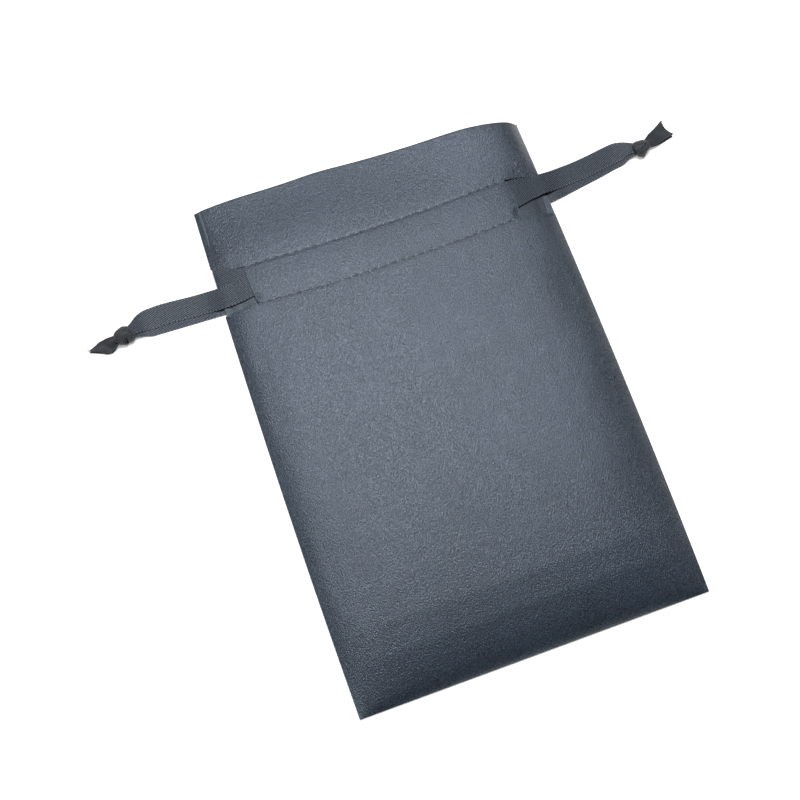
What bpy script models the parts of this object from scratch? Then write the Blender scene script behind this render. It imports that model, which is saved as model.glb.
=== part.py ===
"""Satin gift pouch with two ribbon drawstrings, lying flat.

Metres, +Z up. The origin is the middle of the back panel's underside, on the table. +Y runs to the mouth
and +X to the right-hand drawstring's knot. Every piece is its own object, and they stay a hair apart.
"""

import math

import bmesh
import bpy
from mathutils import Vector

# The bag.
WIDTH = 0.1020  # between the corners
LENGTH = 0.1500  # from the bottom edge to the mouth corners
SIDE_BOW = 0.0008  # how far each side bows out at mid length
MOUTH_DIP = 0.0008  # how far the mouth edge is drawn back at mid width, where the mouth stands open
CLOTH = 0.0003
LOWER_STITCH_Y = 0.0411
UPPER_STITCH_Y = 0.0538
SLIT_X = 0.0405  # the outer panels stop here between the two rows of stitches
THREAD = 0.0004
SEAM_Z = 0.00075

# The layers at the channel, from the table up: panel, two ribbons, hem, the mouth, hem, two ribbons, panel.
CLEARANCE = 0.0002
MOUTH_GAP = 0.0044
RIBBON_THICKNESS = 0.00025
CHANNEL_DEPTH = 3 * CLEARANCE + 2 * RIBBON_THICKNESS
BACK_HEM_Z = CLOTH + CHANNEL_DEPTH  # underside
FRONT_HEM_Z = BACK_HEM_Z + 2 * CLOTH + MOUTH_GAP  # upper side
HEIGHT = FRONT_HEM_Z + CHANNEL_DEPTH + CLOTH
INNER_LEVEL = CLEARANCE + RIBBON_THICKNESS / 2  # from the hem to the middle of the ribbon next to it
OUTER_LEVEL = INNER_LEVEL + CLEARANCE + RIBBON_THICKNESS

# How the cloth rolls down to its edges.
EDGE_Z = 0.0016  # upper side of the front panel at its sewn edges
BOTTOM_ROLL = 0.060
ROLL_POWER = 16
HEM_HALF_WIDTH = 0.0502
HEM_EDGE_Z = BACK_HEM_Z + 2 * CLOTH + CLEARANCE  # upper side of the front hem at its sides
HEM_LOWER_Y = LOWER_STITCH_Y - 0.0012
HEM_TOP_Y = LENGTH / 2 - 0.0004
HEM_FOLD = 0.0008  # how far the hem comes up to the panel near the fold at the mouth

# The ribbons. Each closed drawstring leaves by its own slit and turns round the hem at the other one.
RIBBON_WIDTH = 0.0060
LOWER_LANE_Y = LOWER_STITCH_Y + 0.00025 + RIBBON_WIDTH / 2
UPPER_LANE_Y = UPPER_STITCH_Y - 0.0003 - RIBBON_WIDTH / 2
LANE_CHANGE = (0.012, SLIT_X)
HINGE_X = 0.0580  # where the free ends lie down on the table
HINGE_GAP = 0.0003
KNOT_HALF_SIZES = (0.0027, 0.0023, 0.0021)
KNOT_LIFT = 0.0014  # how far a tail comes down from its knot to the table

# Free strands, in millimetres, from the hinge line along the table and up into the knot.
LEFT_FRONT_STRAND = (
    (-58.3, 47.4, 0.65), (-62.0, 47.7, 0.65), (-67.0, 47.8, 0.65), (-71.0, 47.6, 0.65),
    (-74.0, 47.1, 0.95), (-76.0, 46.2, 1.45), (-77.1, 45.4, 1.80),
)
LEFT_BACK_STRAND = (
    (-58.3, 45.7, 0.175), (-62.0, 45.7, 0.175), (-67.0, 45.6, 0.175), (-71.0, 45.6, 0.175),
    (-74.0, 45.5, 0.40), (-76.0, 45.0, 0.90), (-77.1, 44.6, 1.25),
)
RIGHT_FRONT_STRAND = (
    (58.3, 54.2, 0.65), (63.0, 54.9, 0.65), (69.0, 55.8, 0.65), (75.0, 56.9, 0.65),
    (78.5, 57.2, 0.95), (80.6, 56.8, 1.40), (82.0, 56.2, 1.80),
)
RIGHT_BACK_STRAND = (
    (58.3, 51.7, 0.175), (63.0, 52.7, 0.175), (69.0, 53.9, 0.175), (75.0, 55.2, 0.175),
    (78.5, 55.8, 0.40), (80.6, 55.8, 0.85), (82.0, 55.6, 1.25),
)
LEFT_KNOT = Vector((-0.0801, 0.0446, 0.0022))
RIGHT_KNOT = Vector((0.0850, 0.0556, 0.0022))
TAIL_WAIST = 0.0032
TAIL_END_WIDTH = 0.0064
TAIL_NOTCH = 0.0022

SATIN = (0.070, 0.083, 0.095)
LINING = (0.060, 0.072, 0.084)
RIBBON = (0.065, 0.078, 0.095)
THREAD_COLOUR = (0.030, 0.036, 0.044)


def clear_scene():
    for obj in list(bpy.data.objects):
        bpy.data.objects.remove(obj, do_unlink=True)


def material(name, colour, roughness):
    made = bpy.data.materials.new(name)
    made.use_nodes = True
    shader = made.node_tree.nodes["Principled BSDF"]
    shader.inputs["Base Color"].default_value = (*colour, 1)
    shader.inputs["Roughness"].default_value = roughness
    shader.inputs["Metallic"].default_value = 0
    return made


def smoothstep(t):
    t = min(1.0, max(0.0, t))
    return t * t * (3 - 2 * t)


def steps(start, end, count):
    return [start + (end - start) * i / count for i in range(count + 1)]


def place(name, mesh, colour, roughness):
    obj = bpy.data.objects.new(name, mesh)
    bpy.context.scene.collection.objects.link(obj)
    mesh.materials.append(material(name, colour, roughness))
    mesh.shade_smooth()
    mesh.set_sharp_from_angle(angle=math.radians(40))
    return obj


def thicken(obj, thickness, offset):
    modifier = obj.modifiers.new("Thickness", "SOLIDIFY")
    modifier.thickness = thickness
    modifier.offset = offset
    modifier.use_even_offset = True
    return obj


# Cloth


def half_width(y):
    return WIDTH / 2 + SIDE_BOW * math.cos(math.pi * y / LENGTH)


def roll(u):
    """1 over the flat middle of the pouch, falling to 0 at its side, u = 1."""
    return 1 - min(1.0, abs(u)) ** ROLL_POWER


def front_height(x, y):
    bottom = min(1.0, (y + LENGTH / 2) / BOTTOM_ROLL)
    rise = roll(x / half_width(y)) * (1 - (1 - bottom) ** 3)
    return EDGE_Z + (HEIGHT - EDGE_Z) * rise


def back_height(x, y):
    return CLOTH


def hem_fold(y):
    return HEM_FOLD * smoothstep((y - UPPER_STITCH_Y - 0.003) / 0.012)


def front_hem_height(x, y=0.0):
    return HEM_EDGE_Z + (FRONT_HEM_Z - HEM_EDGE_Z + hem_fold(y)) * roll(x / HEM_HALF_WIDTH)


def back_hem_height(x, y):
    return BACK_HEM_Z + CLOTH - hem_fold(y)


def cloth_sheet(name, rows, columns, height, colour, slit=False):
    """A sheet on a grid. columns(y) gives the x of each column. A slit leaves out what is beyond SLIT_X."""
    mesh = bpy.data.meshes.new(name)
    bm = bmesh.new()
    grid = []
    for y in rows:
        across = columns(y)
        line = []
        for x in across:
            dip = MOUTH_DIP * math.cos(math.pi * x / WIDTH) * smoothstep((y - UPPER_STITCH_Y) / 0.019)
            line.append(bm.verts.new((x, y - dip, height(x, y))))
        grid.append(line)
    for i in range(len(rows) - 1):
        in_band = LOWER_STITCH_Y < (rows[i] + rows[i + 1]) / 2 < UPPER_STITCH_Y
        for j in range(len(grid[0]) - 1):
            middle = (grid[i][j].co.x + grid[i][j + 1].co.x) / 2
            if slit and in_band and abs(middle) > SLIT_X:
                continue
            bm.faces.new((grid[i][j], grid[i][j + 1], grid[i + 1][j + 1], grid[i + 1][j]))
    loose = [v for v in bm.verts if not v.link_faces]
    bmesh.ops.delete(bm, geom=loose, context="VERTS")
    bm.to_mesh(mesh)
    bm.free()
    return thicken(place(name, mesh, colour, 0.45), CLOTH, -1)


def panel_columns(y):
    middle = steps(-SLIT_X, SLIT_X, 8)
    side = [SLIT_X + (half_width(y) - SLIT_X) * s for s in (0.25, 0.45, 0.62, 0.76, 0.88, 0.95, 1.0)]
    return [-x for x in reversed(side)] + middle + side


def hem_columns(y):
    middle = steps(-SLIT_X, SLIT_X, 8)
    side = [SLIT_X + (HEM_HALF_WIDTH - SLIT_X) * s for s in (0.25, 0.45, 0.62, 0.76, 0.88, 0.95, 1.0)]
    return [-x for x in reversed(side)] + middle + side


def panel_rows():
    bottom = -LENGTH / 2
    rolling = [bottom + BOTTOM_ROLL * t for t in (0, 0.03, 0.08, 0.15, 0.24, 0.35, 0.5, 0.7, 1.0)]
    body = steps(rolling[-1], LOWER_STITCH_Y, 4)
    header = steps(UPPER_STITCH_Y, LENGTH / 2, 4)
    return rolling[:-1] + body + header


def hem_rows():
    return steps(HEM_LOWER_Y, UPPER_STITCH_Y, 2) + steps(UPPER_STITCH_Y, HEM_TOP_Y, 8)[1:]


def make_cloth():
    cloth_sheet("back_panel", panel_rows(), panel_columns, back_height, SATIN, slit=True)
    cloth_sheet("front_panel", panel_rows(), panel_columns, front_height, SATIN, slit=True)
    cloth_sheet("back_hem", hem_rows(), hem_columns, back_hem_height, LINING)
    cloth_sheet("front_hem", hem_rows(), hem_columns, front_hem_height, LINING)


# Thread


def thread(name, points):
    curve = bpy.data.curves.new(name, "CURVE")
    curve.dimensions = "3D"
    spline = curve.splines.new("POLY")
    spline.points.add(len(points) - 1)
    for point, position in zip(spline.points, points):
        point.co = (*position, 1)
    curve.bevel_depth = THREAD / 2
    curve.bevel_resolution = 1
    curve.use_fill_caps = True
    obj = bpy.data.objects.new(name, curve)
    bpy.context.scene.collection.objects.link(obj)
    curve.materials.append(material(name, THREAD_COLOUR, 0.5))
    return obj


def make_threads():
    reach = SLIT_X - 0.0005
    front_z = FRONT_HEM_Z + CHANNEL_DEPTH / 2 - 0.00005
    back_z = CLOTH + CHANNEL_DEPTH / 2
    for side, z in (("front", front_z), ("back", back_z)):
        for row, y in (("lower", LOWER_STITCH_Y), ("upper", UPPER_STITCH_Y)):
            thread(f"{side}_{row}_stitching", [(x, y, z) for x in steps(-reach, reach, 10)])

    inset = 0.0007
    bottom = -LENGTH / 2 + inset
    down = [(-half_width(y) + inset, y, SEAM_Z) for y in steps(LOWER_STITCH_Y - 0.0006, bottom, 12)]
    up = [(-x, y, z) for x, y, z in reversed(down)]
    thread("body_seam", down + up)
    for name, side in (("left_header_seam", -1), ("right_header_seam", 1)):
        heights = steps(UPPER_STITCH_Y + 0.0006, LENGTH / 2 - 0.0006, 4)
        thread(name, [(side * (half_width(y) - 0.00045), y, SEAM_Z) for y in heights])


# Ribbon


def ribbon(name, points, width=RIBBON_WIDTH, widths=None):
    """A ribbon whose middle follows the points, flat across Y."""
    mesh = bpy.data.meshes.new(name)
    bm = bmesh.new()
    widths = widths or [width] * len(points)
    low = [bm.verts.new((x, y - w / 2, z)) for (x, y, z), w in zip(points, widths)]
    high = [bm.verts.new((x, y + w / 2, z)) for (x, y, z), w in zip(points, widths)]
    for i in range(len(points) - 1):
        bm.faces.new((low[i], low[i + 1], high[i + 1], high[i]))
    bm.to_mesh(mesh)
    bm.free()
    return thicken(place(name, mesh, RIBBON, 0.35), RIBBON_THICKNESS, 0)


def round_the_hem(level):
    """(x, z) from the flat of the front hem, at SLIT_X, round the hem's side and back under it, at a level."""
    points = []
    for s in (0, 0.25, 0.45, 0.62, 0.76, 0.88, 0.95, 1.0):
        x = SLIT_X + (HEM_HALF_WIDTH - SLIT_X) * s
        slope = (front_hem_height(x + 1e-6) - front_hem_height(x - 1e-6)) / 2e-6 if s < 1 else -1.3
        normal = Vector((-slope, 1)).normalized()
        points.append((x + normal.x * level, front_hem_height(x) + normal.y * level))
    tilt = math.atan2(normal.y, normal.x)
    for angle in steps(tilt, 0, 3)[1:]:
        points.append((HEM_HALF_WIDTH + level * math.cos(angle), HEM_EDGE_Z + level * math.sin(angle)))
    for angle in steps(0, -math.pi / 2, 4):
        points.append((HEM_HALF_WIDTH + level * math.cos(angle), BACK_HEM_Z + level * math.sin(angle)))
    points.append((SLIT_X, BACK_HEM_Z - level))
    return points


def easing(start, end, count):
    """(x, z) from start, falling as steeply as 45 degrees, to lie level at end."""
    reach = end[0] - start[0]
    drop = end[1] - start[1]
    made = []
    for t in steps(0, 1, count):
        made.append((start[0] + reach * t, start[1] + drop * (1 - (1 - t) ** 2)))
    return made


def leaving(level, back):
    """(x, z) of a strand that leaves its slit, over the hem's side or under it, and lies down on the table."""
    end = (HINGE_X - HINGE_GAP, (LEFT_BACK_STRAND if back else LEFT_FRONT_STRAND)[0][2] / 1000)
    if back:
        start = (SLIT_X, BACK_HEM_Z - level)
        return [(x, start[1] + (end[1] - start[1]) * smoothstep((x - start[0]) / 0.014))
                for x in steps(start[0], end[0], 10)]
    over = round_the_hem(level)[:7]
    return over + easing(over[-1], end, 6)[1:]


def meeting(lane, strand):
    """The lane of a leaving strand, which bends to its free strand once it is past the side of the pouch."""
    start_x, start_y = strand[0][0] / 1000, strand[0][1] / 1000
    bend = start_y - lane(start_x)
    return lambda x: lane(x) + bend * smoothstep((abs(x) - WIDTH / 2 - 0.0009) / 0.006)


def lane_left(x):
    """Middle of the left drawstring at x: the lower lane, then across under the right one to the upper lane."""
    across = smoothstep((x - LANE_CHANGE[0]) / (LANE_CHANGE[1] - LANE_CHANGE[0]))
    return LOWER_LANE_Y + (UPPER_LANE_Y - LOWER_LANE_Y) * across


def lane_right(x):
    return UPPER_LANE_Y


def drawstring_points(level, lane, side, front_strand, back_strand):
    """The loop held in the channel, from one free strand to the other. They leave at the side: 1 is +X, -1 is -X."""
    front = list(reversed(leaving(level, back=False)))
    back = leaving(level, back=True)
    turn = [(-x, z) for x, z in round_the_hem(level)]
    along = steps(SLIT_X, -SLIT_X, 14)[1:-1]
    front_z = FRONT_HEM_Z + level
    back_z = BACK_HEM_Z - level
    held = [(x, front_z) for x in along] + turn + [(-x, back_z) for x in along]
    path = []
    for part, y_at in ((front, meeting(lane, front_strand)), (held, lane), (back, meeting(lane, back_strand))):
        path += [(side * x, y_at(side * x), z) for x, z in part]
    return path


def knot(name, centre):
    """A soft overhand knot: a ball pinched by the two turns of ribbon that cross round it."""
    mesh = bpy.data.meshes.new(name)
    bm = bmesh.new()
    bmesh.ops.create_uvsphere(bm, u_segments=24, v_segments=14, radius=1)
    for vertex in bm.verts:
        direction = vertex.co.normalized()
        around = math.atan2(direction.z, direction.y)
        pinch = 1 - 0.10 * (0.5 + 0.5 * math.cos(2 * around + 5 * direction.x)) * (1 - direction.x**2)
        vertex.co = Vector(d * h for d, h in zip(direction * pinch, KNOT_HALF_SIZES)) + centre
    bm.to_mesh(mesh)
    bm.free()
    return place(name, mesh, RIBBON, 0.4)


def tail(name, knot_centre, direction, length, z, spread):
    """The end of one strand beyond its knot: it fans out and has a V cut in its end."""
    along = Vector(direction).normalized()
    across = Vector((-along.y, along.x))
    start = KNOT_HALF_SIZES[0] + 0.0006
    rows = []
    for t in steps(0, 1, 5):
        width = TAIL_WAIST + (TAIL_END_WIDTH - TAIL_WAIST) * smoothstep(t)
        for s in (-1, 0, 1):
            reach = start + length * t - (TAIL_NOTCH * t if s == 0 else 0)
            point = Vector(knot_centre[:2]) + along * reach + across * (s * width / 2 + spread * t)
            height = z + KNOT_LIFT * (1 - smoothstep(t / 0.8))
            rows.append((point.x, point.y, height))
    mesh = bpy.data.meshes.new(name)
    bm = bmesh.new()
    verts = [bm.verts.new(p) for p in rows]
    for i in range(5):
        for j in range(2):
            a = 3 * i + j
            bm.faces.new((verts[a], verts[a + 3], verts[a + 4], verts[a + 1]))
    bmesh.ops.recalc_face_normals(bm, faces=bm.faces)
    bm.to_mesh(mesh)
    bm.free()
    return thicken(place(name, mesh, RIBBON, 0.4), RIBBON_THICKNESS, 0)


def make_ribbons():
    ribbon("left_drawstring", drawstring_points(INNER_LEVEL, lane_left, -1, LEFT_FRONT_STRAND, LEFT_BACK_STRAND))
    ribbon("right_drawstring", drawstring_points(OUTER_LEVEL, lane_right, 1, RIGHT_FRONT_STRAND, RIGHT_BACK_STRAND))
    ends = (
        ("left", LEFT_KNOT, (-1, -0.30), 0.0062, LEFT_FRONT_STRAND, LEFT_BACK_STRAND),
        ("right", RIGHT_KNOT, (1, 0.40), 0.0092, RIGHT_FRONT_STRAND, RIGHT_BACK_STRAND),
    )
    for name, centre, direction, length, front, back in ends:
        for layer, strand, spread in (("front", front, 0.0), ("back", back, -0.00065)):
            points = [(x / 1000, y / 1000, z / 1000) for x, y, z in strand]
            widths = [RIBBON_WIDTH - 0.0022 * w for w in (0, 0, 0, 0, 0.35, 0.8, 1)]
            ribbon(f"{name}_{layer}_strand", points, widths=widths)
            tail(f"{name}_{layer}_tail", centre, direction, length, points[0][2], spread)
        knot(f"{name}_knot", centre)


clear_scene()
make_cloth()
make_threads()
make_ribbons()
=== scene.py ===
"""A drawstring gift pouch of dark satin, laid flat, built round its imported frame. Metres, +Z up."""

import math

import bmesh
import bpy
import numpy as np
from mathutils import Matrix, Vector


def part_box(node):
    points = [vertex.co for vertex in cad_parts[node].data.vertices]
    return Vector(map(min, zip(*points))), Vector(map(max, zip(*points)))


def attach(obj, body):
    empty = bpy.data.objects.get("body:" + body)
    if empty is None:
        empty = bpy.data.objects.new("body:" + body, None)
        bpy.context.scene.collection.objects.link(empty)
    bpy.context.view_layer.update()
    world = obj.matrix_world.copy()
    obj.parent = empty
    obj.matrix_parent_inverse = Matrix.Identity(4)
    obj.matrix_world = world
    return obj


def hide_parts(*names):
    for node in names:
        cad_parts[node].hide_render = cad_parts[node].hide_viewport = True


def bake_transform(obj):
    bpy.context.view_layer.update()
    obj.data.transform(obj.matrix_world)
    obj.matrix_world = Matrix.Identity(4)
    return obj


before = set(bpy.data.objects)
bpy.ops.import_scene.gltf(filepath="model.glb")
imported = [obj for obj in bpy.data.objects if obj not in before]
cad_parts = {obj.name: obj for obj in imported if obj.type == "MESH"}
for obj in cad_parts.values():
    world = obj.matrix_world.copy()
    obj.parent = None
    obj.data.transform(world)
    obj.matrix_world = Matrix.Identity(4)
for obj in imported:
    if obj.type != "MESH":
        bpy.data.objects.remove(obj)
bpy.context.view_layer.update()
bpy.ops.object.select_all(action="DESELECT")

MM = 0.001


# Camera. A 48.6 mm lens held a little over 300 mm above the pouch, from its lower left,
# and turned so that the mouth rises to the right.

LENS = 48.6
SENSOR = 36.0
CAMERA_AIM = Vector((-12.25, 3.38, 0.0)) * MM
CAMERA_DISTANCE = 305.7 * MM
CAMERA_AZIMUTH = math.radians(-37.23)
CAMERA_ELEVATION = math.radians(73.70)
CAMERA_ROLL = math.radians(18.49)

view_direction = Vector((
    math.sin(CAMERA_AZIMUTH) * math.cos(CAMERA_ELEVATION),
    -math.cos(CAMERA_AZIMUTH) * math.cos(CAMERA_ELEVATION),
    math.sin(CAMERA_ELEVATION),
))
bpy.ops.object.camera_add(location=CAMERA_AIM + CAMERA_DISTANCE * view_direction)
camera = bpy.context.object
camera.name = "camera"
upright = view_direction.to_track_quat("Z", "Y").to_matrix()
camera.rotation_euler = (upright @ Matrix.Rotation(CAMERA_ROLL, 3, "Z")).to_euler()
camera.data.lens = LENS
camera.data.sensor_width = SENSOR
camera.data.clip_start = 0.01
bpy.context.scene.camera = camera


# Table and light. A plain white table top under one soft lamp beyond the mouth, with a weak one at the left
# for the side that slopes away from it, and a little even light from all round.

TABLE_Z = -0.05 * MM
TABLE_GLOW = 0.30  # keeps the table top plain white under the lamp's soft shadows
ROOM_LIGHT = 0.09

bpy.ops.mesh.primitive_plane_add(size=6, location=(0, 0, TABLE_Z))
table = bpy.context.object
table.name = "table_top"
table_white = bpy.data.materials.new("table_white")
table_white.use_nodes = True
table_shader = table_white.node_tree.nodes["Principled BSDF"]
table_shader.inputs["Base Color"].default_value = (0.93, 0.93, 0.925, 1)
table_shader.inputs["Roughness"].default_value = 0.9
table_shader.inputs["Specular IOR Level"].default_value = 0.0
table_shader.inputs["Emission Color"].default_value = (1, 1, 0.985, 1)
table_shader.inputs["Emission Strength"].default_value = TABLE_GLOW
table.data.materials.append(table_white)

world = bpy.data.worlds.new("studio")
bpy.context.scene.world = world
world.use_nodes = True
world.node_tree.nodes["Background"].inputs["Color"].default_value = (0.97, 0.985, 1.0, 1)
world.node_tree.nodes["Background"].inputs["Strength"].default_value = ROOM_LIGHT


def add_lamp(name, direction, distance, size, power):
    """An oval soft lamp that shines at the pouch from that direction."""
    direction = Vector(direction).normalized()
    bpy.ops.object.light_add(type="AREA", location=direction * distance)
    lamp = bpy.context.object
    lamp.name = name
    lamp.data.shape = "ELLIPSE"
    lamp.data.size, lamp.data.size_y = size
    lamp.data.energy = power
    lamp.rotation_euler = direction.to_track_quat("Z", "Y").to_euler()
    return lamp


soft_lamp = add_lamp("soft_lamp", (0.06, 0.27, 0.955), 0.60, (0.16, 0.34), 4.2)
soft_lamp.data.color = (1.0, 0.995, 0.985)
add_lamp("left_fill", (-0.60, 0.10, 0.79), 0.80, (0.40, 0.50), 1.1)
bpy.context.scene.view_settings.view_transform = "Standard"


# Panels. Front and back are cut alike from dark slate polyester satin, sewn together round the sides and the
# bottom, and folded in at the mouth. A slit beside each seam lets the ribbons out of the channel.

GLINT_SIZE = 0.46 * MM


def smoothstep(t):
    t = np.clip(t, 0, 1)
    return t * t * (3 - 2 * t)


def new_socket(group, name, way, kind="NodeSocketFloat", value=None):
    socket = group.interface.new_socket(name=name, in_out=way, socket_type=kind)
    if value is not None:
        socket.default_value = value
    return socket


def node(tree, kind, **values):
    """A node of that kind. Values are settings, or numbers for the inputs of those names."""
    made = tree.nodes.new(kind)
    for name, value in values.items():
        if hasattr(made, name):
            setattr(made, name, value)
        else:
            made.inputs[name.replace("_", " ")].default_value = value
    return made


def make_glint_group():
    """Fine grain of woven cloth: a mask near 0.5 and a height, on a vector in metres."""
    group = bpy.data.node_groups.new("woven_grain", "ShaderNodeTree")
    new_socket(group, "Vector", "INPUT", "NodeSocketVector")
    new_socket(group, "Grain Size", "INPUT", value=GLINT_SIZE)
    new_socket(group, "Stretch", "INPUT", value=1.6)
    new_socket(group, "Mask", "OUTPUT")
    new_socket(group, "Height", "OUTPUT")
    entry = node(group, "NodeGroupInput")
    leave = node(group, "NodeGroupOutput")
    scale = node(group, "ShaderNodeMath", operation="DIVIDE")
    scale.inputs[0].default_value = 1.0
    across = node(group, "ShaderNodeVectorMath", operation="SCALE")
    stretch = node(group, "ShaderNodeCombineXYZ", Y=1.0, Z=1.0)
    squeeze = node(group, "ShaderNodeVectorMath", operation="MULTIPLY")
    fine = node(group, "ShaderNodeTexNoise", Scale=1.0, Detail=2.0, Roughness=0.65)
    cells = node(group, "ShaderNodeTexVoronoi", Scale=0.8, Randomness=1.0)
    mix = node(group, "ShaderNodeMath", operation="MULTIPLY_ADD")
    mix.inputs[1].default_value = 0.35
    link = group.links.new
    link(entry.outputs["Grain Size"], scale.inputs[1])
    link(entry.outputs["Vector"], across.inputs[0])
    link(scale.outputs[0], across.inputs["Scale"])
    link(entry.outputs["Stretch"], stretch.inputs["X"])
    link(across.outputs[0], squeeze.inputs[0])
    link(stretch.outputs[0], squeeze.inputs[1])
    link(squeeze.outputs[0], fine.inputs["Vector"])
    link(squeeze.outputs[0], cells.inputs["Vector"])
    link(cells.outputs["Distance"], mix.inputs[0])
    link(fine.outputs["Fac"], mix.inputs[2])
    link(fine.outputs["Fac"], leave.inputs["Mask"])
    link(mix.outputs[0], leave.inputs["Height"])
    return group


woven_grain = make_glint_group()


def cloth_material(name, dark, light, roughness, glint, specular, sheen):
    """Cloth whose colour, gloss and surface follow its grain, the grain's pale flecks partly painted glints, with
    faint random blotches in its tone.
    """
    made = bpy.data.materials.new(name)
    made.use_nodes = True
    tree = made.node_tree
    link = tree.links.new
    shader = tree.nodes["Principled BSDF"]
    place = node(tree, "ShaderNodeTexCoord")
    grain = node(tree, "ShaderNodeGroup", node_tree=woven_grain)
    grain.inputs["Grain Size"].default_value = GLINT_SIZE
    grain.inputs["Stretch"].default_value = 2.1
    blotch = node(tree, "ShaderNodeTexNoise", Scale=45.0, Detail=2.0, Roughness=0.5)
    # Pale grain flecks in the base colour: partly the weave, partly painted glints.
    tone = node(tree, "ShaderNodeValToRGB")
    tone.color_ramp.elements[0].position = 0.42
    tone.color_ramp.elements[0].color = (*dark, 1)
    tone.color_ramp.elements[1].position = 0.64
    tone.color_ramp.elements[1].color = (*light, 1)
    both = node(tree, "ShaderNodeMath", operation="MULTIPLY_ADD")
    both.inputs[1].default_value = 0.10
    gloss = node(tree, "ShaderNodeMapRange")
    gloss.inputs["From Min"].default_value = 0.3
    gloss.inputs["From Max"].default_value = 0.7
    gloss.inputs["To Min"].default_value = roughness + 0.12
    gloss.inputs["To Max"].default_value = roughness - 0.10
    bump = node(tree, "ShaderNodeBump", Strength=glint, Distance=0.15 * MM)
    centre = node(tree, "ShaderNodeMath", operation="SUBTRACT")
    centre.inputs[1].default_value = 0.05
    link(place.outputs["Object"], grain.inputs["Vector"])
    link(place.outputs["Object"], blotch.inputs["Vector"])
    link(blotch.outputs["Fac"], both.inputs[0])
    link(grain.outputs["Mask"], both.inputs[2])
    link(both.outputs[0], centre.inputs[0])
    link(centre.outputs[0], tone.inputs["Fac"])
    link(tone.outputs["Color"], shader.inputs["Base Color"])
    link(grain.outputs["Mask"], gloss.inputs["Value"])
    link(gloss.outputs["Result"], shader.inputs["Roughness"])
    link(grain.outputs["Height"], bump.inputs["Height"])
    link(bump.outputs["Normal"], shader.inputs["Normal"])
    shader.inputs["IOR"].default_value = 1.66
    shader.inputs["Specular IOR Level"].default_value = specular
    shader.inputs["Specular Tint"].default_value = (0.76, 0.86, 1.0, 1)
    shader.inputs["Sheen Weight"].default_value = sheen
    shader.inputs["Sheen Roughness"].default_value = 0.4
    shader.inputs["Sheen Tint"].default_value = (0.85, 0.92, 1.0, 1)
    return made


satin = cloth_material("satin", (0.001, 0.002, 0.003), (0.034, 0.054, 0.084), 0.35, 1.0, 0.56, 0.0)


# The back lies flat, the front stands over it by the height of the channel's layers, and both roll together
# at the sewn sides and bottom.
HALF_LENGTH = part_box("front_panel")[1][1]
HALF_WIDTH = 51.0 * MM
SIDE_BOW = 0.9 * MM
EDGE_Z = 0.62 * MM
CLOTH = 0.24 * MM
LOWER_ROW = 41.1 * MM
ROW_SLANT = 0.030  # the lower row's climb from left to right
UPPER_ROW = 53.3 * MM
STITCH_PITCH = 2.85 * MM

# Heights in millimetres: across the body at x, across the mouth at x, and the share of them reached at y.
CREST = (
    (-51.8, 0.62), (-50.7, 1.4), (-48, 2.75), (-44, 3.9), (-36, 4.9), (-24, 5.7), (-10, 6.2), (6, 6.4),
    (20, 6.45), (30, 6.25), (37, 5.7), (42, 4.9), (46, 3.9), (49, 2.6), (51, 1.3), (51.8, 0.62),
)
LIP = (
    (-51.5, 0.62), (-50.2, 1.4), (-48, 2.1), (-44, 2.9), (-38, 3.8), (-26, 4.5), (-16, 5.2), (-6, 5.5),
    (10, 5.9), (21, 6.5), (34, 7.0), (40, 6.6), (44, 5.8), (47, 4.7), (49, 3.4), (50.4, 2.0), (51.5, 0.62),
)
BOTTOM = (
    (-75, 0.0), (-74.4, 0.13), (-73.4, 0.24), (-72, 0.34), (-70, 0.44), (-67, 0.56), (-62, 0.72), (-54, 0.87),
    (-44, 0.94), (-32, 0.985), (-20, 1.0), (75, 1.0),
)


def shape_line(t, knots, ease):
    """A line through the given knots, its corners eased over that length. t and the result are in metres."""
    at = np.array([k[0] for k in knots]) * MM
    value = np.array([k[1] for k in knots])
    near_end = np.minimum(t - at[0], at[-1] - t)
    ease = np.clip(near_end, 0, ease)
    return sum(np.interp(t + ease * k, at, value) for k in (-1, -0.5, 0, 0.5, 1)) / 5


def half_width(y):
    return HALF_WIDTH + SIDE_BOW * np.cos(math.pi * y / (2 * HALF_LENGTH))


def lower_row(x):
    x = np.clip(x, -44 * MM, 38 * MM)
    return LOWER_ROW + ROW_SLANT * x + 0.98 * x * x - 0.35 * MM * np.exp(-(((x / MM + 20) / 10) ** 2))


def upper_row(x):
    beyond = np.clip(-42 * MM - x, 0, None)
    x = np.clip(x, -60 * MM, 39 * MM)
    return UPPER_ROW + 0.040 * x + 1.15 * x * x + 30 * beyond * beyond


def mouth_edge(x):
    rises = 0.4 * np.exp(-(((x / MM + 13) / 9) ** 2)) + 0.5 * np.exp(-(((x / MM - 31) / 11) ** 2))
    return HALF_LENGTH + (rises - 0.1 - 0.1 * (x / HALF_WIDTH) ** 8) * MM


def dent(x, y, at, sizes, depth, turn=0.0):
    """A soft hollow, an oval of those sizes turned by turn."""
    c, s = math.cos(turn), math.sin(turn)
    across = ((x - at[0] * MM) * c + (y - at[1] * MM) * s) / (sizes[0] * MM)
    along = (-(x - at[0] * MM) * s + (y - at[1] * MM) * c) / (sizes[1] * MM)
    return -depth * MM * np.exp(-(across**2) - along**2)


def row_relief(x, y, row):
    """The groove that a row of stitches draws in the cloth, and the small puckers between its stitches."""
    away = (y - row(x)) / MM
    pucker = np.cos(2 * math.pi * x / STITCH_PITCH)
    groove = -0.10 * np.exp(-((away / 0.5) ** 2))
    ridges = -0.018 * pucker * np.exp(-(((away - 0.5) / 0.9) ** 2))
    rays = 0.012 * np.sin(2 * math.pi * (x / STITCH_PITCH + 0.17 * away)) * np.exp(-((away / 2.6) ** 2))
    return (groove + ridges + rays) * MM


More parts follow.
